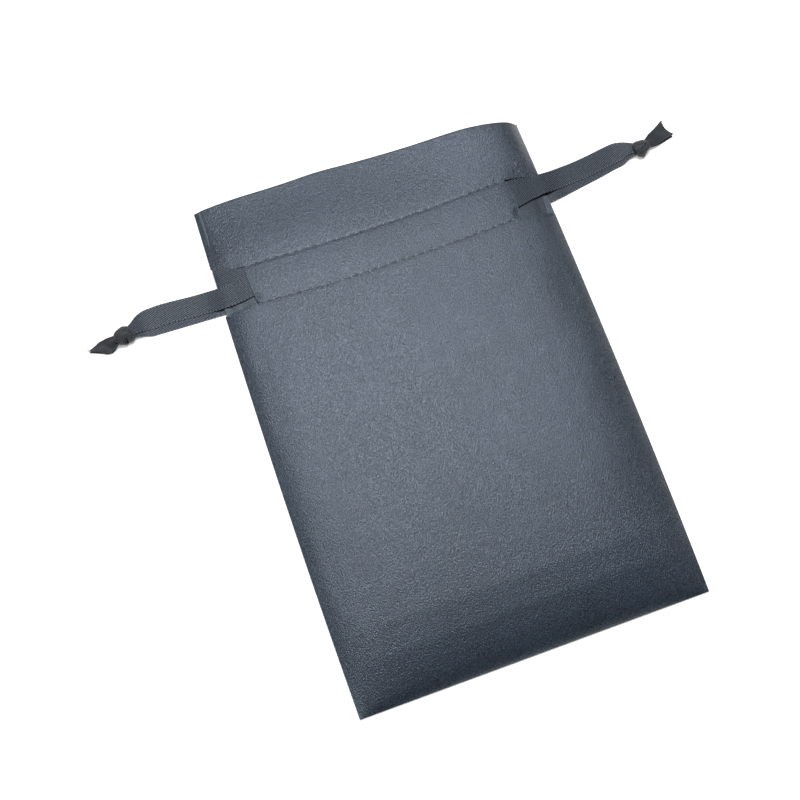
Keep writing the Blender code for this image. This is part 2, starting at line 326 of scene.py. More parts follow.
def lie_of_the_cloth(x, y):
    """Slow unevenness of the front: hollows beside the side seams, a slack channel and a few long creases."""
    z = dent(x, y, (-45, 26), (5.0, 9.0), 0.35, 0.1) + dent(x, y, (-46.5, 8), (4.0, 10.0), 0.3)
    z += dent(x, y, (45.5, 20), (4.5, 10.0), 0.45, -0.1) + dent(x, y, (46.5, -14), (4.0, 9.0), 0.3)
    z += dent(x, y, (-44, -36), (6.0, 14.0), 0.3) + dent(x, y, (43, -44), (7.0, 12.0), 0.3)
    z += dent(x, y, (14, 66), (16.0, 7.0), 0.2, 0.2)
    z += 0.07 * MM * np.sin(x / (9.5 * MM) + 1.4 * np.sin(y / (31 * MM)))
    z += 0.06 * MM * np.sin(y / (14 * MM) + 1.1 * np.sin(x / (17 * MM)) + 0.8)
    inside = np.clip((y - lower_row(x)) / (upper_row(x) - lower_row(x)), 0, 1)
    z += 0.18 * MM * np.sin(math.pi * inside)
    return z


def crest(x):
    return shape_line(x, CREST, 1.6 * MM) * MM


def settled_on_ribbons(x, y, u):
    """How far the front sinks on to the ribbons: along each slit's edge, and above each slit."""
    share = (y - lower_row(x)) / (upper_row(x) - lower_row(x))
    to_slit = np.minimum(np.abs(x - slit_edge(-1, share)), np.abs(x - slit_edge(1, share)))
    at_edge = np.clip(np.sin(math.pi * np.clip(share, 0, 1)), 0, 1) ** 0.5
    at_edge = at_edge * (0.22 + 0.5 * smoothstep((0.32 - share) / 0.2))
    above_right = 0.48 * smoothstep((x / MM - 38.8) / 6)
    above_left = 0.40 * smoothstep((-x / MM - 41.2) / 4)
    above = np.where(x > 0, above_right, above_left) * (1 - u**12)
    sunk = at_edge * np.exp(-((to_slit / (1.6 * MM)) ** 2))
    sunk = sunk + above * np.exp(-(((y - upper_row(x)) / (2.6 * MM)) ** 2))
    return sunk * MM


def front_z(x, y):
    u = np.clip(x / half_width(y), -1, 1)
    body = crest(u * 51.8 * MM)
    lip = shape_line(u * 51.5 * MM, LIP, 1.2 * MM) * MM
    to_lip = smoothstep((y - UPPER_ROW - 2 * MM) / (HALF_LENGTH - UPPER_ROW - 2 * MM))
    height = EDGE_Z + (body + (lip - body) * to_lip - EDGE_Z) * shape_line(y, BOTTOM, 1.0 * MM)
    height = height - settled_on_ribbons(x, y, u)
    calm = np.clip((1 - np.abs(u)) * 9, 0, 1) * np.clip((y + HALF_LENGTH) / (12 * MM), 0, 1)
    stitched_in = row_relief(x, y, lower_row) + row_relief(x, y, upper_row)
    return height + (lie_of_the_cloth(x, y) + stitched_in) * calm


def back_z(x, y):
    u = np.clip(np.abs(x) / half_width(y), 0, 1)
    end = np.clip((y + HALF_LENGTH) / (2.5 * MM), 0, 1)
    curl = np.maximum(u**40, (1 - end) ** 2)
    return 0.03 * MM + (EDGE_Z - 0.50 * MM) * curl


def slit_edge(side, f):
    """The x of a slit's edge: f is 0 at the lower row of stitches and 1 at the upper."""
    f = np.clip(f, 0, 1)
    bulge = np.sin(math.pi * f) ** 0.6
    if side > 0:
        return (38.8 + 1.4 * bulge) * MM
    return -(41.5 + 0.7 * f + 0.5 * bulge) * MM


def weave_uv(obj, u, v):
    """Writes u and v, in metres, as the piece's UV map, one value a vertex."""
    layer = obj.data.uv_layers.active or obj.data.uv_layers.new(name="UVMap")
    corner = np.empty(len(obj.data.loops), np.int32)
    obj.data.loops.foreach_get("vertex_index", corner)
    layer.data.foreach_set("uv", np.stack([u[corner], v[corner]], 1).ravel().astype(np.float32))


def shaped_grid(name, columns, rows, place):
    """A grid whose vertex in column i and row j goes to place(i, j), which works on arrays."""
    bpy.ops.mesh.primitive_grid_add(x_subdivisions=columns, y_subdivisions=rows, size=2)
    obj = bpy.context.object
    obj.name = name
    obj.data.name = name
    flat = np.empty(len(obj.data.vertices) * 3)
    obj.data.vertices.foreach_get("co", flat)
    flat = flat.reshape(-1, 3)
    i = np.rint((flat[:, 0] + 1) / 2 * columns).astype(int)
    j = np.rint((flat[:, 1] + 1) / 2 * rows).astype(int)
    points = place(i, j)
    obj.data.vertices.foreach_set("co", points.astype(np.float32).ravel())
    obj.data.update()
    return obj, i, j


def delete_faces(obj, unwanted):
    """unwanted(x, y) of a face's middle says whether it goes."""
    bm = bmesh.new()
    bm.from_mesh(obj.data)
    gone = [f for f in bm.faces if unwanted(*f.calc_center_median()[:2])]
    bmesh.ops.delete(bm, geom=gone, context="FACES")
    bm.to_mesh(obj.data)
    bm.free()


def apply_modifier(obj, kind, name, **settings):
    modifier = obj.modifiers.new(name, kind)
    for key, value in settings.items():
        setattr(modifier, key, value)
    bpy.ops.object.select_all(action="DESELECT")
    bpy.context.view_layer.objects.active = obj
    obj.select_set(True)
    bpy.ops.object.modifier_apply(modifier=name)


def smooth(obj, angle=50):
    bpy.ops.object.select_all(action="DESELECT")
    bpy.context.view_layer.objects.active = obj
    obj.select_set(True)
    bpy.ops.object.shade_smooth_by_angle(angle=math.radians(angle))


def finish_piece(obj, finish):
    obj.data.materials.clear()
    obj.data.materials.append(finish)
    return obj


def gather(obj):
    """Bakes the piece's placement into its mesh."""
    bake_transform(obj)


def kept_part(obj, name, keep):
    """A copy of obj that holds only the faces whose middle has keep(x, y) true."""
    part = obj.copy()
    part.data = obj.data.copy()
    part.name = name
    part.data.name = name
    bpy.context.scene.collection.objects.link(part)
    delete_faces(part, lambda x, y: not keep(x, y))
    return part


SIDE_COLUMNS = 34
MIDDLE_COLUMNS = 220
BODY_ROWS = 190
CHANNEL_ROWS = 36
HEADER_ROWS = 56
FOLD_ROWS = 8
FOLD_RADIUS = 0.34 * MM
PANEL_COLUMNS = 2 * SIDE_COLUMNS + MIDDLE_COLUMNS
PANEL_ROWS = BODY_ROWS + CHANNEL_ROWS + HEADER_ROWS + FOLD_ROWS


def panel_plan(i, j):
    """x, y and fold angle of the panel's grid points. Rows follow the stitches, and columns the slits."""
    channel = np.clip((j - BODY_ROWS) / CHANNEL_ROWS, 0, 1)
    left = slit_edge(-1, channel)
    right = slit_edge(1, channel)
    rough_y = np.interp(
        j, [0, BODY_ROWS, BODY_ROWS + CHANNEL_ROWS, PANEL_ROWS - FOLD_ROWS, PANEL_ROWS],
        [-HALF_LENGTH, LOWER_ROW, UPPER_ROW, HALF_LENGTH, HALF_LENGTH],
    )
    wide = half_width(rough_y)
    from_left = -wide + (left + wide) * (1 - np.cos(np.clip(i / SIDE_COLUMNS, 0, 1) * math.pi / 2))
    k = np.clip((i - SIDE_COLUMNS) / MIDDLE_COLUMNS, 0, 1)
    between = left + (right - left) * k
    m = np.clip((PANEL_COLUMNS - i) / SIDE_COLUMNS, 0, 1)
    from_right = wide - (wide - right) * (1 - np.cos(m * math.pi / 2))
    x = np.where(i < SIDE_COLUMNS, from_left, np.where(i > PANEL_COLUMNS - SIDE_COLUMNS, from_right, between))
    body = np.clip(j / BODY_ROWS, 0, 1)
    body = 0.25 * (1 - np.cos(body * math.pi / 2)) + 0.75 * body
    y = -HALF_LENGTH + (lower_row(x) + HALF_LENGTH) * body
    y = np.where(j > BODY_ROWS, lower_row(x) + (upper_row(x) - lower_row(x)) * channel, y)
    header = np.clip((j - BODY_ROWS - CHANNEL_ROWS) / HEADER_ROWS, 0, 1)
    above_channel = upper_row(x) + (mouth_edge(x) - FOLD_RADIUS - upper_row(x)) * header
    y = np.where(j > BODY_ROWS + CHANNEL_ROWS, above_channel, y)
    fold = np.clip((j - PANEL_ROWS + FOLD_ROWS) / FOLD_ROWS, 0, 1) * math.pi
    return x, y, fold


def front_place(i, j):
    x, y, fold = panel_plan(i, j)
    z = front_z(x, y)
    z = z - FOLD_RADIUS * (1 - np.cos(fold))
    y = y + FOLD_RADIUS * np.sin(fold)
    return np.stack([x, y, z], 1)


def back_place(i, j):
    x, y, fold = panel_plan(i, j)
    z = back_z(x, y) + FOLD_RADIUS * (1 - np.cos(fold))
    y = y + FOLD_RADIUS * np.sin(fold)
    return np.stack([x, y, z], 1)


def in_slit(x, y):
    f = (y - lower_row(x)) / (upper_row(x) - lower_row(x))
    if not 0 < f < 1:
        return False
    return x > slit_edge(1, f) or x < slit_edge(-1, f)


def make_panel(name, place, node_name, turned_over):
    whole, i, j = shaped_grid(name, PANEL_COLUMNS, PANEL_ROWS, place)
    x, y, _ = panel_plan(i, j)
    weave_uv(whole, x, y)
    delete_faces(whole, in_slit)
    if turned_over:
        whole.data.flip_normals()
    for side, side_name in ((-1, "left"), (1, "right")):
        for lower, part_name in ((True, "body"), (False, "header")):
            part = kept_part(
                whole, f"{name}_{part_name}_{side_name}",
                lambda px, py, s=side, b=lower: px * s > 0 and (py < lower_row(px)) == b,
            )
            apply_modifier(part, "SOLIDIFY", "cloth", thickness=CLOTH, offset=-1, use_even_offset=True)
            smooth(part)
            finish_piece(part, satin)
            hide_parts(node_name)
            gather(part)
    bpy.data.objects.remove(whole, do_unlink=True)


make_panel("front", front_place, "front_panel", False)
make_panel("back", back_place, "back_panel", True)


# Hems. The top of each panel is turned in, its duller side out, and sewn down along the channel's lower edge.
# The front one shows beside the ribbon in the right slit, and both show in the mouth.

satin_inside = cloth_material(
    "satin_inside", (0.016, 0.022, 0.029), (0.046, 0.058, 0.072), 0.50, 0.8, 0.45, 0.0
)

HEM_COLUMNS = 96
HEM_ROWS = 60
HEM_HALF_WIDTH = 49.9 * MM
HEM_FLAP = 1.3 * MM  # how much wider the hem is between the slit's lower end and the ribbon turned round it
CHANNEL_DEPTH = 1.1 * MM
BACK_HEM_Z = 1.40 * MM
HEM_EDGE_Z = 1.95 * MM


def front_hem_z(x, y):
    """Under the channel it keeps clear of the ribbons, and at the mouth it comes up to the fold."""
    at_fold = smoothstep((y - UPPER_ROW - 4 * MM) / (17 * MM))
    flat_lie = (3.0 + 1.0 * smoothstep((x / MM + 12) / 18)) * MM
    z = np.maximum(np.minimum(crest(x) - CLOTH - CHANNEL_DEPTH, flat_lie), HEM_EDGE_Z)
    z = z - 0.9 * MM * smoothstep((np.abs(x) / MM - 46.5) / 5) * (1 - at_fold)
    lip = front_z(x, mouth_edge(x) - FOLD_RADIUS) - 2 * FOLD_RADIUS
    creases = 0.06 * MM * np.sin(y / (1.9 * MM) + 2 * np.sin(x / (6 * MM))) * (1 - at_fold)
    return z + (np.maximum(lip, HEM_EDGE_Z - 0.4 * MM) - z) * at_fold + creases


def hem_place(height):
    def place(i, j):
        u = i / HEM_COLUMNS * 2 - 1
        u = np.sign(u) * np.sin(np.abs(u) * math.pi / 2)
        v = j / HEM_ROWS
        rough_y = LOWER_ROW + (HALF_LENGTH - LOWER_ROW) * v
        flap = smoothstep((rough_y - LOWER_ROW - 0.2 * MM) / MM) * smoothstep((49.6 * MM - rough_y) / MM)
        x = u * (HEM_HALF_WIDTH + HEM_FLAP * flap)
        y0 = lower_row(x) - 1.4 * MM
        y = y0 + (mouth_edge(x) - FOLD_RADIUS - y0) * v
        return np.stack([x, y, height(x, y)], 1)
    return place


def back_hem_z(x, y):
    at_fold = smoothstep((y - UPPER_ROW - 4 * MM) / (17 * MM))
    z = BACK_HEM_Z + 0.10 * MM * np.sin(x / (5 * MM) + 1.3 * np.sin(y / (4 * MM)))
    lip = 0.03 * MM + 2 * FOLD_RADIUS
    return z + (lip - z) * at_fold


for hem_name, height in (("front_hem", front_hem_z), ("back_hem", back_hem_z)):
    whole, i, j = shaped_grid(hem_name + "_whole", HEM_COLUMNS, HEM_ROWS, hem_place(height))
    co = np.empty(len(whole.data.vertices) * 3)
    whole.data.vertices.foreach_get("co", co)
    weave_uv(whole, co[0::3], co[1::3])
    for side, side_name in ((-1, "left"), (1, "right")):
        part = kept_part(whole, f"{hem_name}_{side_name}", lambda px, py, s=side: px * s > 0)
        apply_modifier(part, "SOLIDIFY", "cloth", thickness=CLOTH, offset=-1, use_even_offset=True)
        smooth(part)
        finish_piece(part, satin_inside)
        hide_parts(hem_name)
        gather(part)
    bpy.data.objects.remove(whole, do_unlink=True)


# Ribbon. Each drawstring is one narrow woven ribbon with a fine diagonal twill and a firm edge on each side.
# It runs through the channel, round the hems at the far slit and back, and out at its own slit.

RIBBON_WIDTH = 6.3 * MM
RIBBON_CLOTH = 0.20 * MM
TWILL_PITCH = 0.52 * MM
TWILL_ANGLE = math.radians(19)  # of its lines to the ribbon's length
EDGE_PICK_PITCH = 0.9 * MM
RIBBON_COLUMNS = 14


def make_twill():
    """Fine pale twill lines across a ribbon and a row of pale picks along each edge, on its UV in metres."""
    group = bpy.data.node_groups.new("ribbon_twill", "ShaderNodeTree")
    new_socket(group, "Vector", "INPUT", "NodeSocketVector")
    new_socket(group, "Pitch", "INPUT", value=TWILL_PITCH)
    new_socket(group, "Mask", "OUTPUT")
    new_socket(group, "Height", "OUTPUT")
    entry = node(group, "NodeGroupInput")
    leave = node(group, "NodeGroupOutput")
    parts = node(group, "ShaderNodeSeparateXYZ")
    wobble = node(group, "ShaderNodeTexNoise", Scale=1800.0, Detail=2.0, Roughness=0.7)
    link = group.links.new

    def maths(operation, *inputs):
        made = node(group, "ShaderNodeMath", operation=operation)
        for socket, value in zip(made.inputs, inputs):
            if isinstance(value, (int, float)):
                socket.default_value = value
            else:
                link(value, socket)
        return made.outputs[0]

    link(entry.outputs["Vector"], parts.inputs[0])
    link(entry.outputs["Vector"], wobble.inputs["Vector"])
    along, across = parts.outputs["X"], parts.outputs["Y"]
    slanted = maths("MULTIPLY_ADD", along, -math.tan(TWILL_ANGLE), across)
    shaken = maths("MULTIPLY_ADD", wobble.outputs["Fac"], 0.16 * MM, slanted)
    turns = maths("DIVIDE", shaken, entry.outputs["Pitch"])
    wave = maths("SINE", maths("MULTIPLY", turns, 2 * math.pi * math.cos(TWILL_ANGLE)))
    past_twill = maths("SUBTRACT", maths("ABSOLUTE", across), 2.55 * MM)
    edge = maths("SMOOTH_MIN", maths("MULTIPLY", past_twill, 1 / (0.35 * MM)), 1.0, 0.2)
    edge = maths("MAXIMUM", edge, 0.0)
    picks = maths("SINE", maths("MULTIPLY", along, 2 * math.pi / EDGE_PICK_PITCH))
    lines = maths("MULTIPLY", wave, maths("SUBTRACT", 1.0, edge))
    dots = maths("MULTIPLY", picks, edge)
    pattern = maths("ADD", lines, dots)
    level = maths("MULTIPLY_ADD", pattern, 0.30, wobble.outputs["Fac"])
    link(level, leave.inputs["Mask"])
    link(level, leave.inputs["Height"])
    return group


ribbon_twill = make_twill()


def ribbon_material(name, dark, light, roughness, specular, pitch):
    made = bpy.data.materials.new(name)
    made.use_nodes = True
    tree = made.node_tree
    link = tree.links.new
    shader = tree.nodes["Principled BSDF"]
    place = node(tree, "ShaderNodeUVMap", uv_map="UVMap")
    twill = node(tree, "ShaderNodeGroup", node_tree=ribbon_twill)
    twill.inputs["Pitch"].default_value = pitch
    tone = node(tree, "ShaderNodeValToRGB")
    tone.color_ramp.elements[0].position = 0.25
    tone.color_ramp.elements[0].color = (*dark, 1)
    tone.color_ramp.elements[1].position = 0.80
    tone.color_ramp.elements[1].color = (*light, 1)
    gloss = node(tree, "ShaderNodeMapRange")
    gloss.inputs["From Min"].default_value = 0.2
    gloss.inputs["From Max"].default_value = 0.8
    gloss.inputs["To Min"].default_value = roughness + 0.08
    gloss.inputs["To Max"].default_value = roughness - 0.06
    bump = node(tree, "ShaderNodeBump", Strength=0.8, Distance=0.10 * MM)
    link(place.outputs["UV"], twill.inputs["Vector"])
    link(twill.outputs["Mask"], tone.inputs["Fac"])
    link(twill.outputs["Mask"], gloss.inputs["Value"])
    link(tone.outputs["Color"], shader.inputs["Base Color"])
    link(gloss.outputs["Result"], shader.inputs["Roughness"])
    link(twill.outputs["Height"], bump.inputs["Height"])
    link(bump.outputs["Normal"], shader.inputs["Normal"])
    shader.inputs["Specular IOR Level"].default_value = specular
    shader.inputs["Specular Tint"].default_value = (0.80, 0.87, 1.0, 1)
    shader.inputs["Sheen Weight"].default_value = 0.05
    return made


ribbon = ribbon_material("ribbon", (0.002, 0.003, 0.005), (0.068, 0.082, 0.106), 0.50, 0.42, TWILL_PITCH)


def along_route(route, count):
    """count + 1 even points of a smooth curve through the route's points."""
    p = np.array(route, float) * MM
    p = np.concatenate([[2 * p[0] - p[1]], p, [2 * p[-1] - p[-2]]])
    fine = []
    for a, b, c, d in zip(p[:-3], p[1:-2], p[2:-1], p[3:]):
        for t in np.linspace(0, 1, 24, endpoint=False):
            bend = (2 * a - 5 * b + 4 * c - d) * t**2 + (3 * b - a - 3 * c + d) * t**3
            fine.append(0.5 * (2 * b + (c - a) * t + bend))
    fine.append(p[-2])
    fine = np.array(fine)
    run = np.concatenate([[0], np.cumsum(np.linalg.norm(np.diff(fine, axis=0), axis=1))])
    at = np.linspace(0, run[-1], count + 1)
    return np.stack([np.interp(at, run, fine[:, k]) for k in range(3)], 1), run[-1]


def ribbon_strip(name, points, widths, crown=0.0, edge=0.05 * MM):
    """A ribbon along the points, flat across Y, a little crowned, with a firm rounded edge on each side."""
    count = len(points) - 1
    ahead = np.gradient(points, axis=0)
    ahead /= np.linalg.norm(ahead, axis=1)[:, None]
    across = np.array([0, 1.0, 0]) - ahead[:, 1:2] * ahead
    across /= np.linalg.norm(across, axis=1)[:, None]
    facing = np.sign(ahead[0, 0])
    outward = np.cross(ahead, across) * facing
    run = np.concatenate([[0], np.cumsum(np.linalg.norm(np.diff(points, axis=0), axis=1))])

    def place(i, j):
        v = i / RIBBON_COLUMNS * 2 - 1
        rise = crown * (1 - v**2) + edge * np.exp(-(((1 - np.abs(v)) / 0.09) ** 2))
        return points[j] + across[j] * (v * widths[j] / 2)[:, None] + outward[j] * rise[:, None]

    obj, i, j = shaped_grid(name, RIBBON_COLUMNS, count, place)
    weave_uv(obj, facing * run[j], (i / RIBBON_COLUMNS - 0.5) * RIBBON_WIDTH)
    apply_modifier(obj, "SOLIDIFY", "cloth", thickness=RIBBON_CLOTH, offset=0, use_even_offset=True)
    smooth(obj)
    return finish_piece(obj, ribbon)


LOOPS = {
    "left": (
        (-39.0, 47.6, 3.48), (-30, 46.6, 3.52), (-15, 45.0, 3.60), (0, 44.8, 4.08), (12, 46.2, 4.38),
        (24, 49.6, 4.55), (33, 51.9, 4.55), (38, 52.9, 4.34), (42, 53.4, 3.84), (45, 53.6, 3.12),
        (47.6, 53.7, 2.40), (49.6, 53.7, 2.14), (50.5, 53.7, 1.60), (50.0, 53.7, 1.15),
        (48.5, 53.6, 1.05), (45, 53.4, 1.05), (36, 52.6, 1.05), (24, 49.6, 1.05), (12, 46.2, 1.05),
        (0, 44.8, 1.05), (-15, 45.0, 1.05), (-30, 45.6, 1.05), (-40, 46.0, 1.05),
    ),
    "right": (
        (36.0, 50.2, 5.16), (30, 50.3, 5.02), (24, 50.4, 4.94), (8, 50.6, 4.76), (-8, 50.6, 4.50),
        (-24, 50.6, 4.28), (-34, 51.0, 4.00), (-39, 51.4, 3.72), (-42, 51.7, 3.28), (-45.0, 52.1, 2.84),
        (-48.0, 52.7, 2.30), (-50.0, 53.1, 1.90), (-51.0, 53.3, 1.50), (-50.9, 53.3, 1.15),
        (-50.0, 53.2, 0.74), (-48.5, 53.0, 0.63), (-45, 52.4, 0.62), (-36, 51.2, 0.62),
        (-20, 50.6, 0.62), (-4, 50.6, 0.62), (12, 50.4, 0.62), (26, 50.2, 0.62), (36, 50.0, 0.62),
    ),
}
for side_name, route in LOOPS.items():
    points, _ = along_route(route, 300)
    loop = ribbon_strip(f"{side_name}_ribbon_in_channel", points, np.full(len(points), RIBBON_WIDTH))
    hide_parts(f"{side_name}_drawstring")
    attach(loop, f"{side_name}_drawstring")


# Free ends. Both strands of a drawstring come out of its slit, over the side of the pouch and along the table
# to the knot that ties them together.

KNOTS = {"left": (-80.1, 44.6, 1.95), "right": (85.0, 55.6, 1.95)}
STRANDS = {
    ("left", "front"): (
        (-37.5, 47.6, 3.66), (-39.5, 47.6, 3.46), (-42.0, 47.6, 3.18), (-44.5, 47.3, 2.88),
        (-47.0, 47.0, 2.46), (-49.2, 46.9, 2.20), (-50.9, 47.0, 1.88), (-52.6, 47.1, 1.40),
        (-54.8, 47.3, 0.84), (-57.0, 47.4, 0.56), (-60, 47.5, 0.44), (-67, 47.8, 0.42),
        (-71, 47.6, 0.46), (-74, 47.1, 0.84), (-76.2, 46.1, 1.50), (-78.2, 45.1, 2.05),
    ),
    ("left", "back"): (
        (-39.0, 46.0, 1.05), (-44, 46.0, 0.94), (-48, 45.8, 0.66), (-52, 45.6, 0.44),
        (-53.6, 45.6, 0.52), (-55.2, 45.6, 0.40), (-58, 45.6, 0.18), (-62, 45.6, 0.15),
        (-67, 45.6, 0.15), (-71, 45.6, 0.18), (-74, 45.5, 0.42), (-76.2, 45.0, 0.95),
        (-78.2, 44.5, 1.45),
    ),
    ("right", "front"): (
        (34.0, 50.1, 5.16), (36.5, 50.2, 5.06), (39.0, 50.4, 4.82), (41.5, 51.0, 4.40),
        (44.3, 51.9, 3.74), (46.8, 52.5, 3.06), (48.8, 53.0, 2.74), (50.6, 53.3, 2.42),
        (52.3, 53.5, 1.88), (54.2, 53.8, 1.16), (56.4, 54.1, 0.72), (59, 54.4, 0.50), (63, 54.8, 0.44),
        (69, 55.7, 0.43), (75, 56.8, 0.50), (79, 57.2, 0.90), (81.2, 56.9, 1.45), (83.2, 56.2, 2.00),
    ),
    ("right", "back"): (
        (35.0, 50.0, 0.62), (44, 50.0, 0.58), (49, 50.3, 0.38), (52.2, 50.6, 0.44), (53.8, 50.9, 0.50),
        (55.6, 51.2, 0.36), (58, 51.7, 0.17), (63, 52.7, 0.15), (69, 53.9, 0.15), (75, 55.2, 0.20),
        (79, 55.8, 0.44), (81.2, 55.8, 0.90), (83.2, 55.5, 1.45),
    ),
}


def strand_widths(points, knot_x):
    """Full width, drawn in where the ribbon goes into its knot."""
    left_to_go = np.abs(knot_x * MM - points[:, 0]) / MM
    return RIBBON_WIDTH * (0.48 + 0.52 * smoothstep((left_to_go - 1.6) / 6.5))


strand_pieces = {}
for (side_name, layer), route in STRANDS.items():
    points, length = along_route(route, 90)
    widths = strand_widths(points, KNOTS[side_name][0])
    strand = ribbon_strip(f"{side_name}_{layer}_free_strand", points, widths, crown=0.12 * MM)
    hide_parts(f"{side_name}_{layer}_strand")
    strand_pieces[side_name, layer] = (strand, points, length)


# Knots. The two strands of a drawstring are tied together in one overhand knot: a small firm lump of ribbon
# wound over itself, drawn so tight that its weave closes up.

KNOT_SIZE = (2.3 * MM, 2.5 * MM, 1.9 * MM)

# A darker ribbon: on the knots its weave is closed up, and on the tails its darker tone is painted shade.
tight_and_shaded_ribbon = ribbon_material(
    "tight_and_shaded_ribbon", (0.013, 0.015, 0.017), (0.052, 0.056, 0.061), 0.55, 0.33, 0.31 * MM
)


def knot_band(name, centre, tilt, lean, radii, width, swell, phase=0.0):
    """A closed band of ribbon, crowned across its width, drawn tight and creased along its way."""
    count, across_count = 72, 16
    t = np.linspace(0, 2 * math.pi, count + 1)[:-1]
    turn = np.array(Matrix.Rotation(tilt, 3, "Z") @ Matrix.Rotation(lean, 3, "Y"))
    axis = turn @ np.array([1.0, 0, 0])

    def place(i, j):
        v = i / across_count * 2 - 1
        angle = t[j % count]
        drift = 0.35 * MM * np.sin(2 * angle + phase)
        wide = width * (0.80 + 0.30 * np.sin(angle + phase) ** 2)
        grow = 1 + swell * (1 - v**2) - 0.22 * np.abs(v) ** 5
        grow = grow + 0.045 * np.sin(6.5 * v + 2.3 * angle + phase) + 0.03 * np.sin(3 * angle + 11 * v)
        y, z = radii[0] * np.cos(angle) * grow, radii[1] * np.sin(angle) * grow
        ring = np.stack([drift + v * wide / 2, y, z], 1)
        return ring @ turn.T + np.array(centre) * MM

    obj, i, j = shaped_grid(name, across_count, count, place)
    weave_uv(obj, j / count * 13 * MM, (i / across_count - 0.5) * width)
    apply_modifier(obj, "WELD", "closed", merge_threshold=0.005 * MM)
    apply_modifier(obj, "SOLIDIFY", "cloth", thickness=0.35 * MM, offset=-1)
    smooth(obj, 70)
    return obj


def make_knot(side_name, centre, lean_side):
    bpy.ops.mesh.primitive_uv_sphere_add(segments=56, ring_count=36, radius=1)
    core = bpy.context.object
    co = np.empty(len(core.data.vertices) * 3)
    core.data.vertices.foreach_get("co", co)
    d = co.reshape(-1, 3)
    around = np.arctan2(d[:, 2], d[:, 1])
    twist = np.sin(2 * around + 3.2 * d[:, 0] * lean_side + 0.6)
    crease = 1 + 0.10 * twist * (1 - d[:, 0] ** 2) + 0.03 * np.sin(7 * around + 5 * d[:, 0])
    shaped = d * crease[:, None] * (np.array(KNOT_SIZE) * 0.84) + np.array(centre) * MM
    core.data.vertices.foreach_set("co", shaped.astype(np.float32).ravel())
    weave_uv(core, around * 2.2 * MM, d[:, 0] * 2.9 * MM)
    smooth(core, 80)
    core.name = f"{side_name}_knot_core"
    x, y, z = centre
    bands = [
        core,
        knot_band(
            "turn_a", (x + 0.15 * lean_side, y, z - 0.05), math.radians(-34), math.radians(10 * lean_side),
            radii=(2.18 * MM, 1.72 * MM), width=3.0 * MM, swell=0.08,
        ),
        knot_band(
            "turn_b", (x - 1.05 * lean_side, y + 0.25 * lean_side, z - 0.15), math.radians(22),
            math.radians(-16 * lean_side),
            radii=(1.72 * MM, 1.45 * MM), width=1.9 * MM, swell=0.10, phase=1.9,
        ),
    ]
    bpy.ops.object.select_all(action="DESELECT")
    for band in bands:
        band.select_set(True)
    bpy.context.view_layer.objects.active = core
    bpy.ops.object.join()
    core.name = f"{side_name}_wound_knot"
    finish_piece(core, tight_and_shaded_ribbon)
    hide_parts(f"{side_name}_knot")
    return core


# Tails. Beyond the knot each strand of ribbon fans out again. Its end is cut across, obliquely or a little
# hollow, so a few threads have frayed loose at the corners.

TAIL_WAIST = 2.5 * MM
FRAY_SEED = 11

# Each tail's turn is in degrees and its other sizes are in millimetres.
TAILS = {
    ("left", "front"): dict(
        turn=195, length=8.5, widths=(4.6, 3.0), notch=0.0, skew=-1.75, z=0.72, curl=0.15,
    ),
    ("left", "back"): dict(
        turn=197, length=8.4, widths=(4.4, 3.0), notch=0.0, skew=-1.9, z=0.22, curl=0.0,
    ),
    ("right", "front"): dict(
        turn=23, length=12.2, widths=(4.7, 5.8), notch=0.9, skew=0.2, z=0.85, curl=0.4,
    ),
    ("right", "back"): dict(
        turn=20, length=11.8, widths=(4.7, 5.3), notch=0.8, skew=0.0, z=0.25, curl=0.1,
    ),
}


def make_tail(side_name, layer, centre, turn, length, widths, notch, skew, z, curl):
    heading = np.array([math.cos(math.radians(turn)), math.sin(math.radians(turn)), 0])
    across = np.array([-heading[1], heading[0], 0])
    start = 1.9 * MM
    rows, columns = 36, 20
    base = np.array([centre[0] * MM, centre[1] * MM, 0])

    def place(i, j):
        v = i / columns * 2 - 1
        t = j / rows
        valley = notch * MM * (1 - v**2)
        reach = start + (length * MM - start) * t - valley * t**3 + skew * MM * v * t**2
        middle, end = widths[0] * MM, widths[1] * MM
        wide = np.interp(t, [0, 0.35, 0.62, 1], [TAIL_WAIST, 0.9 * middle, middle, end])
        down = smoothstep(t / 0.62)
        height = z * MM + (centre[2] - z - 0.1) * MM * (1 - down)
        height = height + 0.28 * MM * np.cos(v * math.pi * 1.5) * (1 - t)
        height = height + curl * MM * t**3 * (0.4 + 0.6 * v**2)
        height = height + 0.10 * MM * np.sin(9 * t + 3 * v)
        point = base + heading * reach[:, None] + across * (v * wide / 2)[:, None]
        point[:, 2] = np.maximum(height, 0.12 * MM)
        return point

    tail, i, j = shaped_grid(f"{side_name}_{layer}_ribbon_tail", columns, rows, place)
    weave_uv(tail, j / rows * length * MM, (i / columns - 0.5) * RIBBON_WIDTH)
    apply_modifier(tail, "SOLIDIFY", "cloth", thickness=RIBBON_CLOTH, offset=0, use_even_offset=True)
    smooth(tail)
    # The tails' darker tone here is painted shade.
    finish_piece(tail, tight_and_shaded_ribbon)
    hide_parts(f"{side_name}_{layer}_tail")
    tips = []
    for v in (-1, 1):
        reach = (length + skew * v) * MM
        tip = base + heading * reach + across * v * widths[1] * MM / 2
        tips.append(tip + np.array([0, 0, (z + curl) * MM]))
    return tail, tips, heading, across


